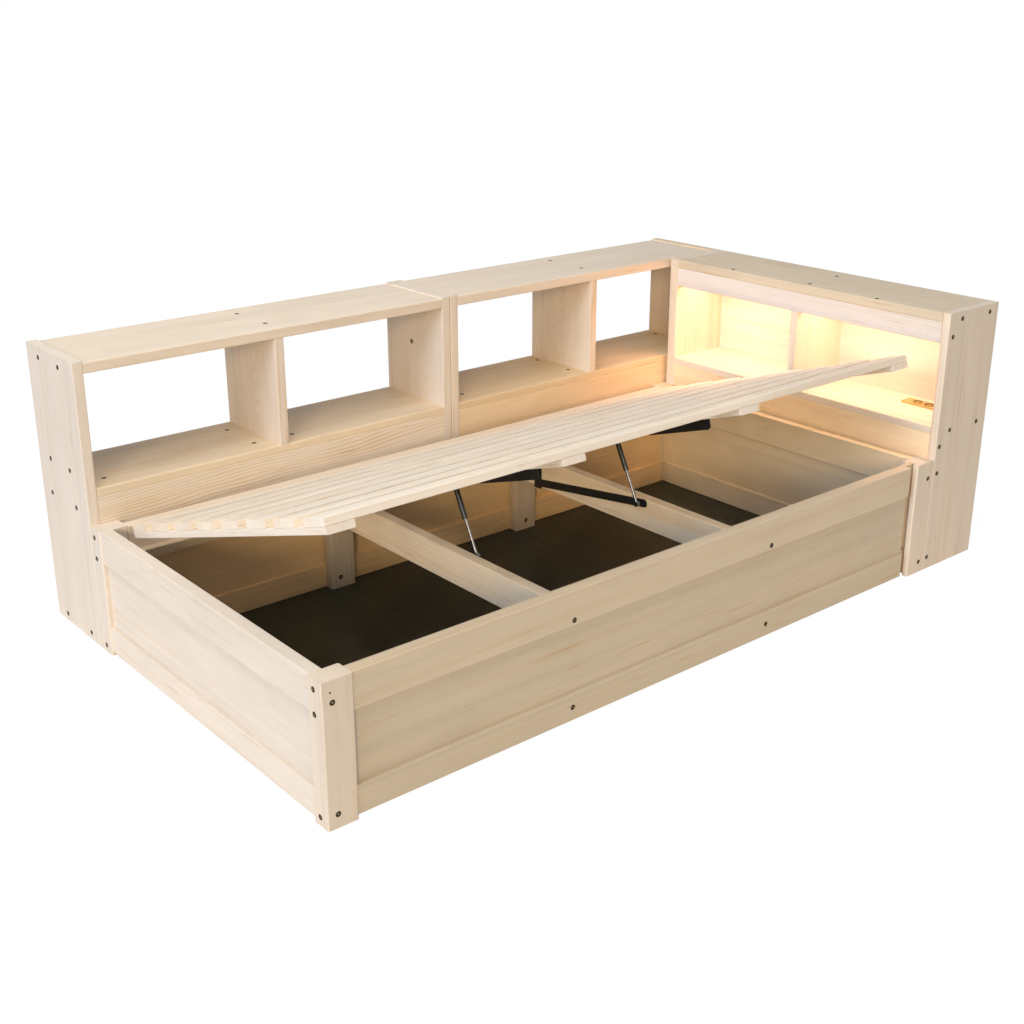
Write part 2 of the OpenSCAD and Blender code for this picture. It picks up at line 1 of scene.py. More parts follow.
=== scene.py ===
"""Looks of the platform bed: pine, dark bottom boards, black steel lift fittings, lit headboard.

Lengths are in metres. The tables of screws are in millimetres in bed coordinates, with zero at
the front foot corner on the floor; place() turns them into the part's frame.
"""

import math

import bmesh
import bpy
from mathutils import Matrix, Vector


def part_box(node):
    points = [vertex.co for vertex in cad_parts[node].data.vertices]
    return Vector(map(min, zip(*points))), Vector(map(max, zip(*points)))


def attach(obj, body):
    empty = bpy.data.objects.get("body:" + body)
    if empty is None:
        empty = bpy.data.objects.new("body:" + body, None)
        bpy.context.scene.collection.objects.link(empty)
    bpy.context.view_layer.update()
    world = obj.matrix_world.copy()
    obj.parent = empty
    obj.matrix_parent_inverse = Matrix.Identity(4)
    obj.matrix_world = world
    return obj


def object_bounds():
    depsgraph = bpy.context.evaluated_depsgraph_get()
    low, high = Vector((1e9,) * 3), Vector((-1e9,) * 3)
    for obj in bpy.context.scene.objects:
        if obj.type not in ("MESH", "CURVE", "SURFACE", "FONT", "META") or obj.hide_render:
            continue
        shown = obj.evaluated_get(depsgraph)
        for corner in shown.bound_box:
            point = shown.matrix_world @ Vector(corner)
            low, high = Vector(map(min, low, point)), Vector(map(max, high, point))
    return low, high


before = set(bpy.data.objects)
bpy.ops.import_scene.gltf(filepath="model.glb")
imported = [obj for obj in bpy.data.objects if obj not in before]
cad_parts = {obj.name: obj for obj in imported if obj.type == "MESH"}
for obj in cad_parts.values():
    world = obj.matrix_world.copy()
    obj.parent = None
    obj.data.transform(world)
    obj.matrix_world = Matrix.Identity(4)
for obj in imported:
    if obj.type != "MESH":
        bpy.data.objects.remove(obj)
CAD_BOX = [list(corner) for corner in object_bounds()]
bpy.context.scene.view_settings.view_transform = "Standard"

MM = 0.001
FRONT_FOOT_CORNER = Vector(CAD_BOX[0])
LID_ANGLE = math.radians(18)
LID_BACK = Vector((0, 992, 332))  # lower back edge of the raised lid, mm


def place(x, y, z):
    """A point in bed coordinates, mm, as a point of the part's frame, m."""
    return FRONT_FOOT_CORNER + Vector((x, y, z)) * MM


def on_lid(x, from_back, height):
    """A point of the raised lid, mm: how far from its back edge and over its battens' underside."""
    turn = Matrix.Rotation(-LID_ANGLE, 3, "X")
    p = turn @ Vector((0, -from_back, height)) + LID_BACK
    return place(x, p.y, p.z)


# ---- Camera, solved from the bed's own straight edges ----

camera = bpy.data.objects.new("camera", bpy.data.cameras.new("camera"))
bpy.context.collection.objects.link(camera)
bpy.context.scene.camera = camera
azimuth, elevation, roll = math.radians(39.67), math.radians(20.234), math.radians(-0.134)
forward = Vector(
    (
        math.sin(azimuth) * math.cos(elevation),
        math.cos(azimuth) * math.cos(elevation),
        -math.sin(elevation),
    )
)
aim = forward.to_track_quat("-Z", "Y").to_matrix() @ Matrix.Rotation(roll, 3, "Z")
camera.matrix_world = Matrix.Translation(place(-1277.4, -2116.0, 1675.9)) @ aim.to_4x4()
camera.data.sensor_width = 36
camera.data.lens = 48.2
camera.data.shift_x = 0.0085
camera.data.shift_y = -0.0262
camera.data.clip_end = 60


# ---- Materials ----


def linear(hexcode):
    """An sRGB hex value as linear colour."""
    out = []
    for i in (0, 2, 4):
        c = int(hexcode[i : i + 2], 16) / 255
        out.append(c / 12.92 if c <= 0.04045 else ((c + 0.055) / 1.055) ** 2.4)
    return (*out, 1)


def grey(v):
    """A grey of a linear value, as a colour."""
    return (v, v, v, 1)


def add(tree, kind, settings=None, stops=(), **links):
    """Adds a node with its settings and links.

    settings are its properties, or the name of its operation; stops are a colour ramp's positions
    and colours; links are its inputs by name, or by number as i0, i1, and each is a value or a
    socket.
    """
    node = tree.nodes.new(kind)
    if isinstance(settings, str):
        settings = {"operation": settings}
    for key, value in (settings or {}).items():
        setattr(node, key, value)
    if stops:
        elements = node.color_ramp.elements
        while len(elements) < len(stops):
            elements.new(0.5)
        for element, (position, colour) in zip(elements, stops):
            element.position = position
            element.color = colour
    for key, value in links.items():
        by_number = key[0] == "i" and key[1:].isdigit()
        socket = node.inputs[int(key[1:]) if by_number else key.replace("_", " ")]
        if isinstance(value, bpy.types.NodeSocket):
            tree.links.new(value, socket)
        else:
            socket.default_value = value
    return node


def new_material(name):
    """An empty node material, and its tree."""
    material = bpy.data.materials.new(name)
    material.use_nodes = True
    material.node_tree.nodes.clear()
    return material, material.node_tree


# Which way a board's fibres run, as the turn that brings them onto the pattern's X axis.
FIBRES = {
    "X": (0, 0, 0),
    "Y": (0, 0, math.radians(-90)),
    "Z": (0, math.radians(90), 0),
}


RING_GAP = 4.3 * MM
ROW_STAGGER = 0.37  # each row of staves starts this share of a stave further on
RESIN_STREAK = "C08B4E"
FLECK = "BE9464"

# Noises drawn out along the fibres: cells to a metre along and across them, detail, roughness.
WOOD_NOISES = {
    "wander": ((1.6, 8, 8), 2.0, 0.5),  # slow bends of the log, over 600 mm
    "fade": ((3, 14, 14), 1.0, 0.5),  # stretches 330 by 70 mm in which the rings come and go
    "fibre": ((9, 420, 420), 3.0, 0.6),  # fibres 1 mm apart, with finer ones between them
    "fleck": ((18, 190, 190), 1.5, 0.5),  # brown flecks 10 to 25 mm long
    "streak": ((4.5, 125, 125), 2.0, 0.5),  # resin streaks 60 to 150 mm long
    "band": ((0.45, 30, 30), 3.0, 0.55),  # bands 15 to 35 mm wide, along the whole board
    "blotch": ((4, 16, 16), 2.0, 0.5),  # cloudy patches 250 by 60 mm
}


def sawn_pine(name, number, fibres, wide, tone, stave, rings, taper, tilt, pith):
    """Planed, unfinished pine, glued up from finger-jointed staves.

    Long, straight, soft bands of greyer and of tanner wood lie under thin latewood lines, with
    orange brown resin streaks, short flecks and a dull, finely ribbed face. number gives the
    board its own stretch of the pattern; fibres is the axis that they run along; wide is the
    pattern axis across the staves; tone is the early and the late wood; stave is a stave's
    length and width, m; rings is how strongly the rings show; taper is how fast the log narrows,
    which sets how soon its rings close into arches; tilt turns the pattern with the raised lid;
    pith is where the log's middle runs in a board that shows arches, in pattern axes, or None.
    """
    material, t = new_material(name)
    coords = add(t, "ShaderNodeTexCoord").outputs["Object"]
    level = add(t, "ShaderNodeMapping", Vector=coords, Rotation=(tilt, 0, 0)).outputs[0]
    turned = add(t, "ShaderNodeMapping", Vector=level, Rotation=FIBRES[fibres]).outputs[0]
    own_stretch = (number * 0.731, number * 0.113 % 0.9, number * 0.287 % 0.9)
    p = add(t, "ShaderNodeMapping", Vector=turned, Location=own_stretch).outputs[0]

    noise = {}
    for what, (cells, detail, roughness) in WOOD_NOISES.items():
        noise[what] = add(
            t,
            "ShaderNodeTexNoise",
            Vector=add(t, "ShaderNodeMapping", Vector=p, Scale=cells).outputs[0],
            Scale=1.0,
            Detail=detail,
            Roughness=roughness,
        )

    # Staves: each has its own place in the log and its own tone.
    stave_length, stave_width = stave
    xyz = add(t, "ShaderNodeSeparateXYZ", Vector=p)
    widths = add(t, "ShaderNodeMath", "DIVIDE", i0=xyz.outputs[wide], i1=stave_width).outputs[0]
    row = add(t, "ShaderNodeMath", "FLOOR", i0=widths).outputs[0]
    stagger = add(t, "ShaderNodeMath", "MULTIPLY", i0=row, i1=ROW_STAGGER).outputs[0]
    lengths = add(t, "ShaderNodeMath", "DIVIDE", i0=xyz.outputs["X"], i1=stave_length).outputs[0]
    staggered = add(t, "ShaderNodeMath", "ADD", i0=lengths, i1=stagger).outputs[0]
    column = add(t, "ShaderNodeMath", "FLOOR", i0=staggered).outputs[0]
    cell = add(t, "ShaderNodeCombineXYZ", X=column, Y=row, Z=float(number)).outputs[0]
    chance = add(t, "ShaderNodeTexWhiteNoise", Vector=cell).outputs["Color"]
    luck = add(t, "ShaderNodeSeparateXYZ", Vector=chance)

    # The log's middle: at the pith that is given, leaning back from the face, or at a place that
    # each stave draws for itself, leaning either way.
    if pith:
        sway, lean = 14 * MM, taper
        start = add(t, "ShaderNodeMapping", Vector=turned, Location=[-c for c in pith]).outputs[0]
    else:
        sway, reach = 30 * MM, 160 * MM
        way = add(t, "ShaderNodeMath", "SUBTRACT", i0=luck.outputs["Z"], i1=0.5).outputs[0]
        lean = add(t, "ShaderNodeMath", "MULTIPLY", i0=way, i1=taper).outputs[0]
        start = add(
            t,
            "ShaderNodeVectorMath",
            "MULTIPLY_ADD",
            i0=chance,
            i1=(0, reach, reach),
            i2=p,
        ).outputs[0]

    # Growth rings round it: pale early wood that darkens to the latewood line and drops back.
    bent = add(
        t,
        "ShaderNodeVectorMath",
        "MULTIPLY_ADD",
        i0=noise["wander"].outputs["Color"],
        i1=(0, sway, sway),
        i2=start,
    ).outputs[0]
    q = add(t, "ShaderNodeSeparateXYZ", Vector=bent)
    depth = add(
        t,
        "ShaderNodeMath",
        "MULTIPLY_ADD",
        i0=q.outputs["X"],
        i1=lean,
        i2=q.outputs["Z"],
    ).outputs[0]
    section = add(t, "ShaderNodeCombineXYZ", X=0.0, Y=q.outputs["Y"], Z=depth).outputs[0]
    radius = add(t, "ShaderNodeVectorMath", "LENGTH", i0=section).outputs["Value"]
    age = add(t, "ShaderNodeMath", "DIVIDE", i0=radius, i1=RING_GAP).outputs[0]
    season = add(t, "ShaderNodeMath", "FRACT", i0=age).outputs[0]
    latewood = add(
        t,
        "ShaderNodeValToRGB",
        stops=[(0.0, grey(0.25)), (0.35, grey(0)), (0.82, grey(0.75)), (0.93, grey(1)), (1.0, grey(0.3))],
        Fac=season,
    ).outputs["Color"]
    strength = add(
        t,
        "ShaderNodeValToRGB",
        stops=[(0.32, grey(0.1 * rings)), (0.68, grey(0.85 * rings))],
        Fac=noise["fade"].outputs["Fac"],
    ).outputs["Color"]
    ring_mix = add(t, "ShaderNodeMath", "MULTIPLY", i0=latewood, i1=strength).outputs[0]

    # Colour: rings, then streaks and flecks over them, then the bands' tints. A Mix of colours
    # has them at its inputs 6 and 7 and gives its result at output 2.
    early, late = tone
    wood = add(
        t,
        "ShaderNodeMix",
        {"data_type": "RGBA"},
        i0=ring_mix,
        i6=linear(early),
        i7=linear(late),
    ).outputs[2]
    for what, low, high, most, colour in (
        ("streak", 0.67, 0.78, 0.48, RESIN_STREAK),
        ("fleck", 0.68, 0.78, 0.28, FLECK),
    ):
        marks = add(
            t,
            "ShaderNodeValToRGB",
            stops=[(low, grey(0)), (high, grey(most))],
            Fac=noise[what].outputs["Fac"],
        ).outputs["Color"]
        wood = add(
            t,
            "ShaderNodeMix",
            {"data_type": "RGBA"},
            i0=marks,
            i6=wood,
            i7=linear(colour),
        ).outputs[2]
    tint = add(
        t,
        "ShaderNodeValToRGB",
        stops=[
            (0.3, (0.925, 0.923, 0.925, 1)),
            (0.43, grey(0.985)),
            (0.55, grey(1)),
            (0.7, (0.965, 0.915, 0.85, 1)),
        ],
        Fac=noise["band"].outputs["Fac"],
    ).outputs["Color"]
    wood = add(t, "ShaderNodeVectorMath", "MULTIPLY", i0=wood, i1=tint).outputs[0]

    # Each stave, patch and fibre is a little lighter or darker than the next.
    fibre = noise["fibre"].outputs["Fac"]
    for value, low, high, darkest, lightest in (
        (luck.outputs["X"], 0.0, 1.0, 0.98, 1.02),
        (noise["blotch"].outputs["Fac"], 0.3, 0.7, 0.965, 1.02),
        (fibre, 0.3, 0.7, 0.965, 1.015),
    ):
        shade = add(
            t,
            "ShaderNodeMapRange",
            Value=value,
            From_Min=low,
            From_Max=high,
            To_Min=darkest,
            To_Max=lightest,
        ).outputs[0]
        wood = add(t, "ShaderNodeVectorMath", "SCALE", i0=wood, Scale=shade).outputs[0]

    relief = add(t, "ShaderNodeMath", "MULTIPLY_ADD", i0=ring_mix, i1=0.5, i2=fibre).outputs[0]
    bump = add(t, "ShaderNodeBump", Height=relief, Strength=0.25, Distance=0.4 * MM).outputs[0]
    dull = add(t, "ShaderNodeMapRange", Value=fibre, To_Min=0.5, To_Max=0.68).outputs[0]
    shader = add(
        t,
        "ShaderNodeBsdfPrincipled",
        Base_Color=wood,
        Roughness=dull,
        Normal=bump,
        IOR=1.5,
        Specular_IOR_Level=0.35,
    )
    add(t, "ShaderNodeOutputMaterial", Surface=shader.outputs[0])
    return material


def coated_board(name):
    """Dark resin-faced board: olive black, smooth, with a soft gloss that mirrors the legs.

    Faint streaks 14 mm wide run across the bed, over pits 1.7 mm apart.
    """
    material, t = new_material(name)
    p = add(t, "ShaderNodeTexCoord").outputs["Object"]
    streak = add(
        t,
        "ShaderNodeTexNoise",
        Vector=add(t, "ShaderNodeMapping", Vector=p, Scale=(70, 3, 3)).outputs[0],
        Scale=1.0,
        Detail=3.0,
    ).outputs["Fac"]
    colour = add(
        t,
        "ShaderNodeValToRGB",
        stops=[(0.3, linear("323329")), (0.7, linear("35362C"))],
        Fac=streak,
    ).outputs["Color"]
    pits = add(t, "ShaderNodeTexNoise", Vector=p, Scale=600.0, Detail=2.0).outputs["Fac"]
    bump = add(t, "ShaderNodeBump", Height=pits, Strength=0.08, Distance=0.2 * MM).outputs[0]
    rough = add(t, "ShaderNodeMapRange", Value=streak, To_Min=0.22, To_Max=0.24).outputs[0]
    shader = add(
        t,
        "ShaderNodeBsdfPrincipled",
        Base_Color=colour,
        Roughness=rough,
        Normal=bump,
        IOR=1.5,
        Specular_IOR_Level=0.12,
    )
    add(t, "ShaderNodeOutputMaterial", Surface=shader.outputs[0])
    return material


def powder_coat(name, dark, light, roughness):
    """Black coat on pressed steel: a fine orange-peel skin with grains about 0.7 mm across.

    Rough for powder coat, which looks dull, or smooth for enamel, which shines.
    """
    material, t = new_material(name)
    p = add(t, "ShaderNodeTexCoord").outputs["Object"]
    grain = add(t, "ShaderNodeTexNoise", Vector=p, Scale=1400.0, Detail=2.0).outputs["Fac"]
    cloud = add(t, "ShaderNodeTexNoise", Vector=p, Scale=25.0, Detail=2.0).outputs["Fac"]
    colour = add(
        t,
        "ShaderNodeValToRGB",
        stops=[(0.3, linear(dark)), (0.7, linear(light))],
        Fac=cloud,
    ).outputs["Color"]
    bump = add(t, "ShaderNodeBump", Height=grain, Strength=0.2, Distance=0.2 * MM).outputs[0]
    rough = add(t, "ShaderNodeMapRange", Value=cloud, To_Min=roughness[0], To_Max=roughness[1]).outputs[0]
    shader = add(t, "ShaderNodeBsdfPrincipled", Base_Color=colour, Roughness=rough, Normal=bump, IOR=1.5)
    add(t, "ShaderNodeOutputMaterial", Surface=shader.outputs[0])
    return material


def plated_steel(name, low, high, roughness):
    """Ground and plated steel rod or screw: metal with faint tool marks a millimetre apart."""
    material, t = new_material(name)
    p = add(t, "ShaderNodeTexCoord").outputs["Object"]
    marks = add(t, "ShaderNodeTexNoise", Vector=p, Scale=900.0, Detail=2.0).outputs["Fac"]
    colour = add(
        t,
        "ShaderNodeValToRGB",
        stops=[(0.35, linear(low)), (0.65, linear(high))],
        Fac=marks,
    ).outputs["Color"]
    rough = add(t, "ShaderNodeMapRange", Value=marks, To_Min=roughness[0], To_Max=roughness[1]).outputs[0]
    shader = add(t, "ShaderNodeBsdfPrincipled", Base_Color=colour, Roughness=rough, Metallic=1.0)
    add(t, "ShaderNodeOutputMaterial", Surface=shader.outputs[0])
    return material


def lit_diffuser(name, pitch):
    """Milky polycarbonate cover over warm white diodes at a pitch: glows, brighter over each."""
    material, t = new_material(name)
    p = add(t, "ShaderNodeTexCoord").outputs["Object"]
    y = add(t, "ShaderNodeSeparateXYZ", Vector=p).outputs["Y"]
    beat = add(t, "ShaderNodeMath", "PINGPONG", i0=y, i1=pitch / 2).outputs[0]
    spot = add(t, "ShaderNodeMapRange", Value=beat, From_Max=pitch / 2, To_Min=2.6, To_Max=3.4).outputs[0]
    shader = add(
        t,
        "ShaderNodeBsdfPrincipled",
        Base_Color=linear("FFF4DC"),
        Roughness=0.35,
        Emission_Color=linear("FFE9B8"),
        Emission_Strength=spot,
        IOR=1.58,
    )
    add(t, "ShaderNodeOutputMaterial", Surface=shader.outputs[0])
    return material


def moulded_plastic(name, low, high):
    """Injection-moulded ABS with a spark-eroded grain, drawn half a millimetre coarse."""
    material, t = new_material(name)
    p = add(t, "ShaderNodeTexCoord").outputs["Object"]
    grain = add(t, "ShaderNodeTexNoise", Vector=p, Scale=1800.0, Detail=2.0).outputs["Fac"]
    colour = add(
        t,
        "ShaderNodeValToRGB",
        stops=[(0.3, linear(low)), (0.7, linear(high))],
        Fac=grain,
    ).outputs["Color"]
    bump = add(t, "ShaderNodeBump", Height=grain, Strength=0.12, Distance=0.1 * MM).outputs[0]
    rough = add(t, "ShaderNodeMapRange", Value=grain, To_Min=0.25, To_Max=0.4).outputs[0]
    shader = add(t, "ShaderNodeBsdfPrincipled", Base_Color=colour, Roughness=rough, Normal=bump, IOR=1.53)
    add(t, "ShaderNodeOutputMaterial", Surface=shader.outputs[0])
    return material


def countersink_shade_material(name):
    """Painted shade of a countersink round a screw head, and of a pilot hole: dull dark brown, rough,
    mottled every millimetre.
    """
    material, t = new_material(name)
    p = add(t, "ShaderNodeTexCoord").outputs["Object"]
    mottle = add(t, "ShaderNodeTexNoise", Vector=p, Scale=900.0, Detail=2.0).outputs["Fac"]
    colour = add(
        t,
        "ShaderNodeValToRGB",
        stops=[(0.35, linear("33240F")), (0.7, linear("5A4124"))],
        Fac=mottle,
    ).outputs["Color"]
    bump = add(t, "ShaderNodeBump", Height=mottle, Strength=0.4, Distance=0.2 * MM).outputs[0]
    shader = add(t, "ShaderNodeBsdfPrincipled", Base_Color=colour, Roughness=0.8, Normal=bump, IOR=1.5)
    add(t, "ShaderNodeOutputMaterial", Surface=shader.outputs[0])
    return material


# Tones of the wood: (earlywood, latewood). Some are copies whose colour also paints light or shade, as
# marked.
WHITE_PINE = ("E6DACE", "D5BCA0")
PALE_PINE = ("E7D8C7", "D0B28D")
WARM_PINE = ("E0CDB3", "C7A57B")
RAIL_PINE = ("D9C8B0", "C2A37B")
TAN_PINE = ("D1C1A9", "B99A72")
LID_PINE = ("F0E4D7", "D9BE9C")
SLAT_PINE = ("F6EADC", "D8B88F")
APRON_PINE = ("F1E5D6", "CBA672")
# Golden copy of the apron pine for the right case's apron: painted warm light of the strips behind the
# headboard.
APRON_PINE_PAINTED_STRIP_LIGHT = ("EFD9B8", "C99C60")
# Orange copy for the headboard's apron: painted warm light of the strips and their glow off the lid.
HEAD_APRON_PINE_PAINTED_GLOW = ("FBE2BE", "D29A5E")
# Darker, warmer copy for the right case's shelf: painted shade, with painted warm light of the strips.
SHELF_PINE_PAINTED_SHADE = ("E7CFAA", "C79A63")
PALE_SHELF_PINE = ("ECDAC0", "D0AC80")
HEADER_PINE = ("E7DCD5", "D6C0AB")
HEAD_PINE = ("EDD9B8", "CDA877")
# Orange copy for the box's back wall: painted warm light that the strips spill under the lid.
BACK_PINE_PAINTED_GLOW = ("EFCE9F", "CB975B")
BEAM_PINE = ("FCE7C9", "E4C08E")
GREY_PINE = ("CFC1AE", "B09F88")

# Staves: (length, width), m.
BROAD = (0.62, 0.062)
PLAIN = (3.0, 0.5)  # a board of one piece
SLAT = (0.8, 0.12706)  # as wide as a slat and the gap beside it

# node: (fibres run along, pattern axis across the staves, tone, stave, strength of rings)
BOARDS = {
    "front_left_post": ("Z", "Y", PALE_PINE, PLAIN, 0.4),
    "front_right_post": ("Z", "Y", PALE_PINE, PLAIN, 0.4),
    "back_left_post": ("Z", "Y", WHITE_PINE, PLAIN, 0.4),
    "back_right_post": ("Z", "Y", WARM_PINE, PLAIN, 0.4),
    "front_top_rail": ("X", "Z", RAIL_PINE, PLAIN, 0.3),
    "front_panel_board": ("X", "Z", TAN_PINE, BROAD, 0.35),
    "front_bottom_rail": ("X", "Z", TAN_PINE, PLAIN, 0.3),
    "back_top_rail": ("X", "Z", PALE_PINE, PLAIN, 0.5),
    # The back wall's tone paints the strips' warm light under the lid.
    "back_panel_board": ("X", "Z", BACK_PINE_PAINTED_GLOW, BROAD, 0.5),
    "back_bottom_rail": ("X", "Z", BACK_PINE_PAINTED_GLOW, PLAIN, 0.4),
    "foot_top_rail": ("Y", "Z", WHITE_PINE, PLAIN, 0.25),
    "foot_panel_board": ("Y", "Z", WHITE_PINE, BROAD, 0.3),
    "foot_bottom_rail": ("Y", "Z", WHITE_PINE, PLAIN, 0.25),
    "head_top_rail": ("Y", "Z", HEAD_PINE, PLAIN, 0.4),
    "head_panel_board": ("Y", "Z", HEAD_PINE, BROAD, 0.45),
    "head_bottom_rail": ("Y", "Z", HEAD_PINE, PLAIN, 0.4),
    "front_ledger": ("X", "Z", LID_PINE, PLAIN, 0.4),
    "back_ledger": ("X", "Z", WARM_PINE, PLAIN, 0.4),
    "left_cross_beam": ("Y", "Z", BEAM_PINE, PLAIN, 0.4),
    "right_cross_beam": ("Y", "Z", BEAM_PINE, PLAIN, 0.4),
    "front_support_legs": ("Z", "Y", GREY_PINE, PLAIN, 0.6),
    "back_support_legs": ("Z", "Y", GREY_PINE, PLAIN, 0.6),
    "left_case_left_side": ("Z", "Y", WHITE_PINE, BROAD, 0.35),
    "left_case_right_side": ("Z", "Y", WHITE_PINE, BROAD, 0.85),
    "left_case_divider": ("Z", "Y", WHITE_PINE, BROAD, 0.85),
    "left_case_top": ("X", "Y", PALE_PINE, BROAD, 0.35),
    "left_case_shelf": ("X", "Y", PALE_SHELF_PINE, BROAD, 0.5),
    "left_case_apron": ("X", "Z", APRON_PINE, PLAIN, 1.0),
    "left_case_bottom": ("X", "Y", PALE_PINE, BROAD, 0.7),
    "right_case_left_side": ("Z", "Y", PALE_PINE, BROAD, 0.4),
    "right_case_right_side": ("Z", "Y", WARM_PINE, BROAD, 0.6),
    "right_case_divider": ("Z", "Y", PALE_PINE, BROAD, 0.95),
    "right_case_top": ("X", "Y", PALE_PINE, BROAD, 0.35),
    # The right case's shelf tone paints shade and the strips' warm light.
    "right_case_shelf": ("X", "Y", SHELF_PINE_PAINTED_SHADE, BROAD, 0.5),
    # The right case's apron tone paints the strips' warm light.
    "right_case_apron": ("X", "Z", APRON_PINE_PAINTED_STRIP_LIGHT, PLAIN, 1.0),
    "right_case_bottom": ("X", "Y", PALE_PINE, BROAD, 0.7),
    "headboard_front_side": ("Z", "Y", PALE_PINE, BROAD, 0.35),
    "headboard_back_side": ("Z", "Y", PALE_PINE, BROAD, 0.8),
    "headboard_top": ("Y", "Y", RAIL_PINE, BROAD, 0.35),
    "headboard_header": ("Y", "Z", HEADER_PINE, PLAIN, 0.35),
    "headboard_divider": ("Z", "Y", PALE_PINE, BROAD, 0.4),
    "headboard_shelf": ("Y", "Y", PALE_PINE, BROAD, 0.4),
    # The headboard apron's tone paints the strips' warm glow.
    "headboard_apron": ("Y", "Z", HEAD_APRON_PINE_PAINTED_GLOW, PLAIN, 1.0),
    "headboard_bottom_rail": ("Y", "Z", PALE_PINE, PLAIN, 0.9),
    "headboard_back_panel": ("Y", "Z", PALE_PINE, BROAD, 0.6),
    "lid_slats": ("X", "Y", SLAT_PINE, SLAT, 0.9),
    "lid_battens": ("Y", "Z", LID_PINE, PLAIN, 0.4),
}

# How fast a log narrows, and the boards whose rings close sooner than in most.
COMMON_TAPER = 0.03
TAPERS = {
    "back_top_rail": 0.08,
    "back_panel_board": 0.08,
    "left_case_right_side": 0.09,
    "left_case_divider": 0.09,
    "left_case_apron": 0.16,
    "right_case_divider": 0.1,
    "right_case_apron": 0.16,
    "headboard_apron": 0.14,
}

# Boards whose face shows arches: where the middle of their log runs, 20 mm behind the face.
PITHS = {
    "left_case_divider": (0.55, 0.53, 0.587),
    "right_case_divider": (0.6, 0.56, -0.598),
    "left_case_right_side": (0.55, 0.5, 0.01),
}


def dress(name, material):
    """Gives a CAD node its material."""
    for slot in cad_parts[name].material_slots:
        slot.material = material


for number, (name, (fibres, wide, tone, stave, rings)) in enumerate(BOARDS.items(), start=1):
    tilt = LID_ANGLE if name in ("lid_slats", "lid_battens") else 0.0
    taper = TAPERS.get(name, COMMON_TAPER)
    pith = PITHS.get(name)
    pine = sawn_pine("pine_" + name, number, fibres, wide, tone, stave, rings, taper, tilt, pith)
    dress(name, pine)

resin_board = coated_board("dark_resin_faced_board")
black_coat = powder_coat("black_powder_coat", "161616", "1F1F1F", (0.38, 0.5))
tube_coat = powder_coat("black_gloss_enamel", "121212", "1A1A1A", (0.12, 0.2))
chrome = plated_steel("hard_chromed_rod", "707072", "848487", (0.2, 0.28))
dark_zinc = plated_steel("dark_zinc_screw", "2C251B", "4F4432", (0.3, 0.45))
diffuser = lit_diffuser("warm_light_diffuser", 17 * MM)
plate_plastic = moulded_plastic("brassy_socket_plate", "B4964F", "C4A65C")
countersink_shade = countersink_shade_material("painted_countersink_shade")
bronze_plastic = moulded_plastic("dark_bronze_plastic", "3E2B0E", "4C3613")

for name in ("left_bottom_board", "middle_bottom_board", "right_bottom_board"):
    dress(name, resin_board)
for side in ("left", "right"):
    dress(side + "_lift_bar", black_coat)
    dress(side + "_lid_bar", black_coat)
dress("upper_links", black_coat)
dress("lower_links", black_coat)
dress("strut_tubes", tube_coat)
dress("strut_rods", chrome)
dress("light_strip", diffuser)
dress("charging_plate", plate_plastic)


# ---- Screws ----


def mesh_object(name, bm):
    """The finished bmesh as an object of the scene."""
    bmesh.ops.recalc_face_normals(bm, faces=bm.faces)
    mesh = bpy.data.meshes.new(name)
    bm.to_mesh(mesh)
    bm.free()
    obj = bpy.data.objects.new(name, mesh)
    bpy.context.collection.objects.link(obj)
    return obj


def circles(bm, levels, steps=24):
    """One loop of vertices for each (radius, height)."""
    turns = [i * math.tau / steps for i in range(steps)]
    return [[bm.verts.new((r * math.cos(a), r * math.sin(a), z)) for a in turns] for r, z in levels]


def skin(bm, loops):
    """Faces between each loop of vertices and the next."""
    for low, high in zip(loops, loops[1:]):
        for i in range(len(low)):
            j = (i + 1) % len(low)
            bm.faces.new((low[i], low[j], high[j], high[i]))


def cross_head():
    """Screw head for a seat of radius 1: a flat top with a cross-shaped recess."""
    bm = bmesh.new()
    top, bed_height, bed_share = 0.13, -0.14, 0.7
    arm, half = 0.46, 0.11
    loops = circles(bm, ((0.8, -0.25), (0.8, 0.02), (0.74, 0.1), (0.64, top)))
    skin(bm, loops)
    bm.faces.new(list(reversed(loops[0])))
    outline = []
    for k in range(4):
        c, s = math.cos(k * math.pi / 2), math.sin(k * math.pi / 2)
        for x, y in ((arm, -half), (arm, half), (half, half)):
            outline.append((x * c - y * s, x * s + y * c))
    lip = [bm.verts.new((x, y, top)) for x, y in outline]
    bed = [bm.verts.new((x * bed_share, y * bed_share, bed_height)) for x, y in outline]
    n = len(lip)
    edges = [e for e in bm.edges if all(v in loops[-1] for v in e.verts)]
    edges += [bm.edges.new((lip[i], lip[(i + 1) % n])) for i in range(n)]
    bmesh.ops.triangle_fill(bm, use_beauty=True, edges=edges)
    for i in range(n):
        j = (i + 1) % n
        bm.faces.new((lip[j], lip[i], bed[i], bed[j]))
    bm.faces.new(bed)
    return mesh_object("cross_head", bm)


def burnt_rim():
    """Closed ring round a screw head of radius 0.8, over the countersink; in wood it is dark brown,
    painted shade of the countersink.
    """
    bm = bmesh.new()
    loops = circles(bm, ((0.78, -0.25), (0.78, 0.0), (0.86, 0.03), (1.0, 0.012), (1.0, -0.25)))
    skin(bm, loops + loops[:1])
    return mesh_object("burnt_rim", bm)


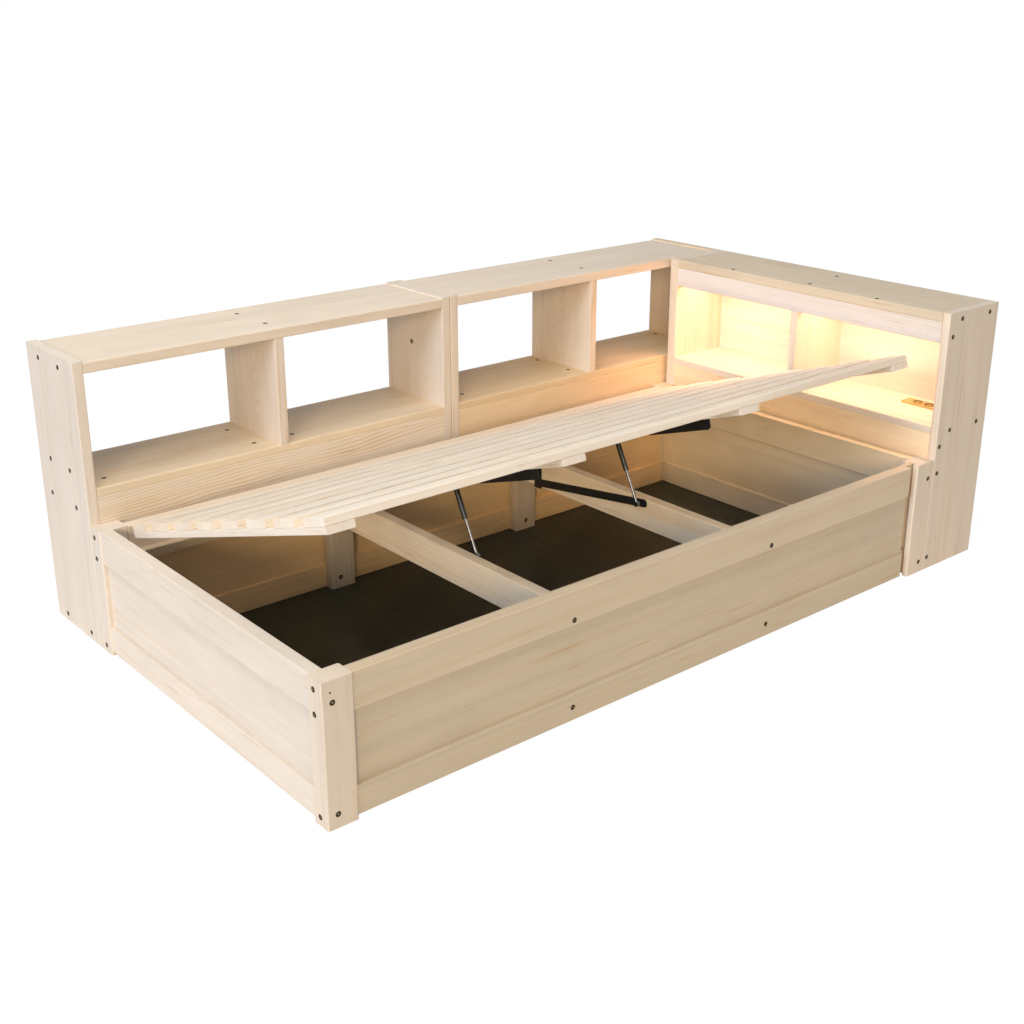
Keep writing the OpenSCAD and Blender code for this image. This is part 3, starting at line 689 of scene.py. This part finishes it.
def screw_tree():
    """Geometry Nodes: a head and its rim on each seat, turned to the way that the seat faces."""
    tree = bpy.data.node_groups.new("screw_heads", "GeometryNodeTree")
    inputs = {}
    for name, kind in (
        ("Seats", "NodeSocketGeometry"),
        ("Head", "NodeSocketObject"),
        ("Rim", "NodeSocketObject"),
        ("Seat radius", "NodeSocketFloat"),
        ("Turn seed", "NodeSocketInt"),
        ("Head finish", "NodeSocketMaterial"),
        ("Rim finish", "NodeSocketMaterial"),
    ):
        inputs[name] = tree.interface.new_socket(name, in_out="INPUT", socket_type=kind).identifier
    tree.interface.new_socket("Screws", in_out="OUTPUT", socket_type="NodeSocketGeometry")
    given = add(tree, "NodeGroupInput")
    facing = add(tree, "GeometryNodeInputNamedAttribute", {"data_type": "FLOAT_VECTOR"}, Name="facing")
    upright = add(
        tree,
        "FunctionNodeAlignRotationToVector",
        {"axis": "Z"},
        Vector=facing.outputs["Attribute"],
    )
    turn = add(
        tree,
        "FunctionNodeRandomValue",
        {"data_type": "FLOAT"},
        i2=0.0,
        i3=math.tau,
        Seed=given.outputs["Turn seed"],
    )
    spin = add(tree, "FunctionNodeAxisAngleToRotation", Axis=(0, 0, 1), Angle=turn.outputs[1])
    twisted = add(
        tree,
        "FunctionNodeRotateRotation",
        {"rotation_space": "LOCAL"},
        Rotation=upright.outputs[0],
        Rotate_By=spin.outputs[0],
    )
    parts = []
    for piece in ("Head", "Rim"):
        source = add(tree, "GeometryNodeObjectInfo", Object=given.outputs[piece])
        spread = add(
            tree,
            "GeometryNodeInstanceOnPoints",
            Points=given.outputs["Seats"],
            Instance=source.outputs["Geometry"],
            Rotation=twisted.outputs[0],
            Scale=given.outputs["Seat radius"],
        )
        real = add(tree, "GeometryNodeRealizeInstances", Geometry=spread.outputs[0])
        finish = given.outputs[piece + " finish"]
        parts.append(add(tree, "GeometryNodeSetMaterial", Geometry=real.outputs[0], Material=finish))
    both = add(tree, "GeometryNodeJoinGeometry")
    for part in reversed(parts):
        tree.links.new(part.outputs[0], both.inputs[0])
    add(tree, "NodeGroupOutput", Screws=both.outputs[0])
    return tree, inputs


HEAD = cross_head()
RIM = burnt_rim()
TREE, INPUTS = screw_tree()


def screws(name, seats, body, radius, seed, finish, rim_finish):
    """Screw heads at seats, pairs of a point and the way the head faces, as one plain mesh."""
    mesh = bpy.data.meshes.new(name + "_seats")
    mesh.from_pydata([p for p, _ in seats], [], [])
    facing = mesh.attributes.new("facing", "FLOAT_VECTOR", "POINT")
    facing.data.foreach_set("vector", [c for _, d in seats for c in d])
    maker = bpy.data.objects.new(name + "_maker", mesh)
    bpy.context.collection.objects.link(maker)
    modifier = maker.modifiers.new("screws", "NODES")
    modifier.node_group = TREE
    modifier[INPUTS["Head"]] = HEAD
    modifier[INPUTS["Rim"]] = RIM
    modifier[INPUTS["Seat radius"]] = radius
    modifier[INPUTS["Turn seed"]] = seed
    modifier[INPUTS["Head finish"]] = finish
    modifier[INPUTS["Rim finish"]] = rim_finish
    graph = bpy.context.evaluated_depsgraph_get()
    result = bpy.data.meshes.new_from_object(maker.evaluated_get(graph))
    result.name = name
    obj = bpy.data.objects.new(name, result)
    bpy.context.collection.objects.link(obj)
    bpy.data.objects.remove(maker)
    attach(obj, body)


LEFT, RIGHT, FRONT, UP = (-1, 0, 0), (1, 0, 0), (0, -1, 0), (0, 0, 1)
WOOD_SCREW, STEEL_SCREW, PILOT_HOLE = 7.0 * MM, 4.2 * MM, 2.6 * MM  # radii of their seats


def seats_on(node, facing, points):
    """Seats on the face of a node that looks the given way, at its two other coordinates, mm."""
    axis = [abs(c) for c in facing].index(1)
    low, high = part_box(node)
    level = (high if facing[axis] > 0 else low)[axis]
    seats = []
    for point in points:
        seat = place(*point[:axis], 0, *point[axis:])
        seat[axis] = level
        seats.append((seat, facing))
    return seats


CASE_SIDE = (
    (1318, 758),
    (1193, 757),
    (1315, 481),
    (1191, 480),
    (1331, 380),
    (1175, 381),
    (1326, 21),
    (1171, 21),
)
HEAD_END = (
    (2184, 765),
    (2324, 764),
    (2145, 717),
    (2183, 431),
    (2321, 430),
    (2139, 388),
    (2141, 305),
    (2137, 38),
)
SCREWED_FACES = (
    ("left_case_left_side", LEFT, CASE_SIDE),
    ("right_case_right_side", RIGHT, CASE_SIDE),
    ("back_left_post", LEFT, ((1078, 327), (1077, 268), (1076, 20))),
    ("front_left_post", LEFT, ((31, 325), (31, 267), (30, 22))),
    ("front_left_post", FRONT, ((25, 299), (26, 34))),
    ("front_top_rail", FRONT, ((696, 274),)),
    ("front_bottom_rail", FRONT, ((695, 44),)),
    ("front_top_rail", FRONT, ((1401, 273),)),
    ("front_bottom_rail", FRONT, ((1399, 44),)),
    ("headboard_front_side", FRONT, HEAD_END),
    ("front_right_post", FRONT, ((2097, 299), (2095, 34))),
    ("left_case_top", UP, ((591, 1326), (593, 1173))),
    ("right_case_top", UP, ((1796, 1339), (1790, 1177))),
    ("headboard_top", UP, ((2141, 826), (2151, 522), (2306, 537), (2132, 258))),
    ("left_case_shelf", UP, ((80, 1167), (531, 1324), (530, 1168), (656, 1169))),
    ("right_case_shelf", UP, ((1282, 1173), (1735, 1331), (1733, 1172), (2310, 1328))),
    ("back_support_legs", FRONT, ((697, 40), (1409, 37))),
    ("left_case_right_side", LEFT, ((1261, 623),)),
)
wood_seats = [seat for face in SCREWED_FACES for seat in seats_on(*face)]
# The rims of the screws in wood are dark brown: painted shade of their countersinks.
screws("wood_screws", wood_seats, "bed_frame", WOOD_SCREW, 3, dark_zinc, countersink_shade)

# Painted shade of a pilot hole in the front left post: a dark brown disc, head and rim alike, where the
# hole is.
pilot_hole_seats = seats_on("front_left_post", FRONT, ((20.6, 323),))
screws("pilot_nail", pilot_hole_seats, "bed_frame", PILOT_HOLE, 3, countersink_shade, countersink_shade)

# Inner faces of the lift bars' plates, x, and the screws that hold each to its beam, (y, z).
BAR_PLATES = ((750, RIGHT), (1365, LEFT))
BAR_SCREWS = ((790.4, 222.4), (633.4, 244.6), (521.3, 260.5), (902.5, 200.0))
bar_seats = [(place(x, y, z), inwards) for x, inwards in BAR_PLATES for y, z in BAR_SCREWS]
screws("lift_bar_screws", bar_seats, "bed_frame", STEEL_SCREW, 5, dark_zinc, black_coat)

# Screws up through the lid bars: x, distance from the lid's back edge, and the bars' thickness.
LID_SCREW_LINES = (768, 1347)
LID_SCREWS = (110, 300, 520, 760)
LID_BAR_STEEL = 3
under = Matrix.Rotation(-LID_ANGLE, 3, "X") @ Vector((0, 0, -1))
lid_seats = [(on_lid(x, a, -LID_BAR_STEEL), under) for x in LID_SCREW_LINES for a in LID_SCREWS]
screws("lid_bar_screws", lid_seats, "lifting_lid", STEEL_SCREW, 7, dark_zinc, black_coat)
bpy.data.objects.remove(HEAD)
bpy.data.objects.remove(RIM)


# ---- Sockets of the charging plate ----


SOCKET_X, SOCKET_YS = 2290, (145, 185)


def ring(bm, centre, radius, thickness, segments=40, round_steps=10):
    """Closed ring of round section, lying flat."""
    rows = []
    for i in range(segments):
        a = i * math.tau / segments
        row = []
        for k in range(round_steps):
            b = k * math.tau / round_steps
            r, h = radius + thickness * math.cos(b), thickness * math.sin(b)
            row.append(bm.verts.new(centre + Vector((r * math.cos(a), r * math.sin(a), h))))
        rows.append(row)
    for i in range(segments):
        for k in range(round_steps):
            j, m = (i + 1) % segments, (k + 1) % round_steps
            bm.faces.new((rows[i][k], rows[j][k], rows[j][m], rows[i][m]))


def sockets():
    """A dark bronze ring round each socket, and the flap that closes it, just under the ring."""
    plate_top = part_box("charging_plate")[1][2]
    ring_radius, ring_thickness, ring_height = 13.4 * MM, 1.5 * MM, 0.1 * MM
    flap_profile = ((11.4, -3.1), (11.4, -1.0), (10.9, -0.7))  # radius, height over the plate, mm
    rings, flaps = bmesh.new(), bmesh.new()
    for y in SOCKET_YS:
        centre = place(SOCKET_X, y, 0)
        centre.z = plate_top
        ring(rings, centre + Vector((0, 0, ring_height)), ring_radius, ring_thickness)
        loops = circles(flaps, [(r * MM, h * MM) for r, h in flap_profile], steps=40)
        for loop in loops:
            bmesh.ops.translate(flaps, vec=centre, verts=loop)
        skin(flaps, loops)
        flaps.faces.new(loops[-1])
        flaps.faces.new(list(reversed(loops[0])))
    rings = mesh_object("socket_rings", rings)
    for face in rings.data.polygons:
        face.use_smooth = True
    for obj, material in ((rings, bronze_plastic), (mesh_object("socket_flaps", flaps), plate_plastic)):
        obj.data.materials.append(material)
        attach(obj, "bed_frame")


sockets()


# ---- Floor, background and light ----


def floor(half):
    """White studio floor. The camera sees nearly all of it as plain white, and its shadows faintly."""
    mesh = bpy.data.meshes.new("floor")
    corners = [(-half, -half, 0), (half, -half, 0), (half, half, 0), (-half, half, 0)]
    mesh.from_pydata(corners, [], [(0, 1, 2, 3)])
    obj = bpy.data.objects.new("floor", mesh)
    bpy.context.collection.objects.link(obj)
    material, t = new_material("white_studio_floor")
    path = add(t, "ShaderNodeLightPath")
    paint = add(t, "ShaderNodeBsdfDiffuse", Color=grey(0.86))
    white = add(t, "ShaderNodeEmission", Color=grey(1), Strength=1.05)
    seen = add(t, "ShaderNodeMath", "MULTIPLY", i0=path.outputs["Is Camera Ray"], i1=0.93).outputs[0]
    mixed = add(t, "ShaderNodeMixShader", i0=seen, i1=paint.outputs[0], i2=white.outputs[0])
    add(t, "ShaderNodeOutputMaterial", Surface=mixed.outputs[0])
    mesh.materials.append(material)


def studio():
    """Pale sky round the bed. The camera, mirrors and glass see plain white in its place."""
    world = bpy.data.worlds.new("studio")
    bpy.context.scene.world = world
    world.use_nodes = True
    t = world.node_tree
    t.nodes.clear()
    path = add(t, "ShaderNodeLightPath").outputs
    seen = add(t, "ShaderNodeMath", "ADD", i0=path["Is Camera Ray"], i1=path["Is Glossy Ray"]).outputs[0]
    seen = add(
        t,
        "ShaderNodeMath",
        {"operation": "ADD", "use_clamp": True},
        i0=seen,
        i1=path["Is Transmission Ray"],
    ).outputs[0]
    sky = add(t, "ShaderNodeBackground", Color=linear("E2EDFF"), Strength=0.24)
    white = add(t, "ShaderNodeBackground", Color=grey(1), Strength=1.0)
    both = add(t, "ShaderNodeMixShader", i0=seen, i1=sky.outputs[0], i2=white.outputs[0])
    add(t, "ShaderNodeOutputWorld", Surface=both.outputs[0])


floor(half=14)
studio()


def lamp(name, at, towards, size, power, colour):
    """Rectangular area light at a point, facing another."""
    light = bpy.data.lights.new(name, "AREA")
    light.shape = "RECTANGLE"
    light.size, light.size_y = size
    light.energy = power
    light.color = linear(colour)[:3]
    obj = bpy.data.objects.new(name, light)
    bpy.context.collection.objects.link(obj)
    at, back = Vector(at), (Vector(at) - Vector(towards)).normalized()
    side = Vector((0, 1, 0)).cross(back).normalized()
    turn = Matrix((side, back.cross(side), back)).transposed()
    obj.matrix_world = Matrix.Translation(at) @ turn.to_4x4()
    obj.visible_camera = False


def far_light(name, way, spread, strength, colour):
    """A broad, distant light that comes from the given way; spread is its width in degrees."""
    light = bpy.data.lights.new(name, "SUN")
    light.angle = math.radians(spread)
    light.energy = strength
    light.color = linear(colour)[:3]
    obj = bpy.data.objects.new(name, light)
    bpy.context.collection.objects.link(obj)
    obj.matrix_world = Vector(way).to_track_quat("Z", "Y").to_matrix().to_4x4()


far_light("left_window", (-0.94, -0.15, 0.3), 22, 1.22, "D0E4FF")
far_light("front_left_window", (-0.7, -0.67, 0.245), 14, 1.22, "FFE3B2")
far_light("front_window", (-0.25, -0.92, 0.28), 16, 0.12, "FFF2DC")
lamp("overhead", (-1.5, -0.6, 3.8), (-0.3, 0, 0), (3.0, 3.0), 104, "FFFBEE")

# Warm light of the strips behind the headboard's header, one lamp for each cell, with its ends.
for name, y0, y1 in (("front_cell_glow", 45, 518), ("back_cell_glow", 582, 1035)):
    middle = (y0 + y1) / 2
    under_strip, shelf_side = place(2215, middle, 752), place(2235, middle, 500)
    lamp(name, under_strip, shelf_side, (30 * MM, (y1 - y0) * MM), 1.42, "FFD2B4")

# What the strips spill on the corner of bookcase, box and lid beside them.
lamp("corner_spill", place(2095, 880, 640), place(1720, 1100, 420), (0.1, 0.25), 0.42, "FFA550")
